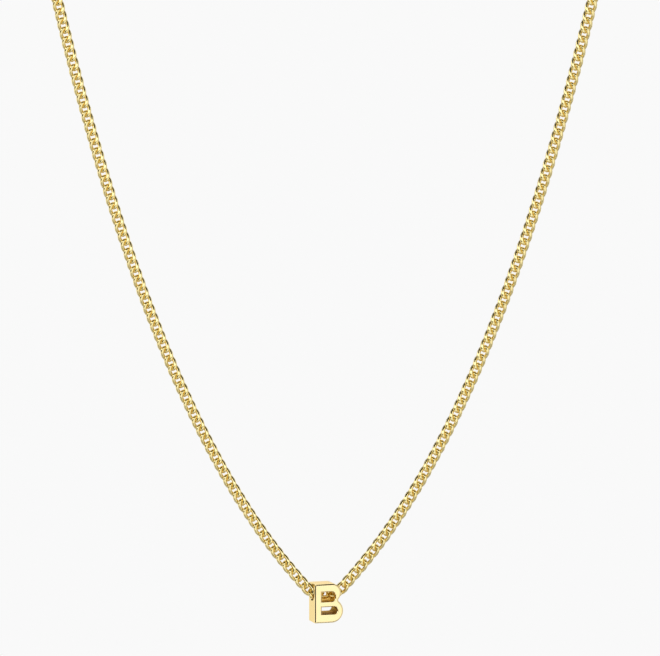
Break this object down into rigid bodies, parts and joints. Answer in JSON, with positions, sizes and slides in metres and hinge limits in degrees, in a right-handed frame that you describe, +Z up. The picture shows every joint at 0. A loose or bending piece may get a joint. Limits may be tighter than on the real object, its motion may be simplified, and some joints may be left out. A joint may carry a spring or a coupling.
{
  "type": "initial pendant necklace",
  "caption": "Thick block-letter bead threaded on a fine curb chain, hanging as a closed loop with a spring-ring clasp at the back.",
  "frame": {"origin": "underside of the clasp at the top of the loop, where the necklace hangs over the back of a neck or a display form", "axes": "+Z up along the hanging loop, the front of the letter towards -Y and turned 17 degrees about Z, +X to the viewer's right"},
  "size_m": [0.0886, 0.0041, 0.1741],
  "materials": {
    "letter_gold": "polished yellow gold plate over solid brass",
    "chain_gold": "polished yellow gold plate over brass wire",
    "clasp_gold": "polished yellow gold plate over brass"
  },
  "bodies": {
    "necklace": {"chain": "chain_gold", "clasp": "clasp_gold"},
    "letter_bead": {"letter": "letter_gold"}
  },
  "joints": [
    {"name": "letter_turn", "type": "hinge", "parent": "necklace", "child": "letter_bead", "pos_m": [0, 0, -0.16512], "axis": [0.9563, 0.2924, 0], "continuous": true}
  ]
}
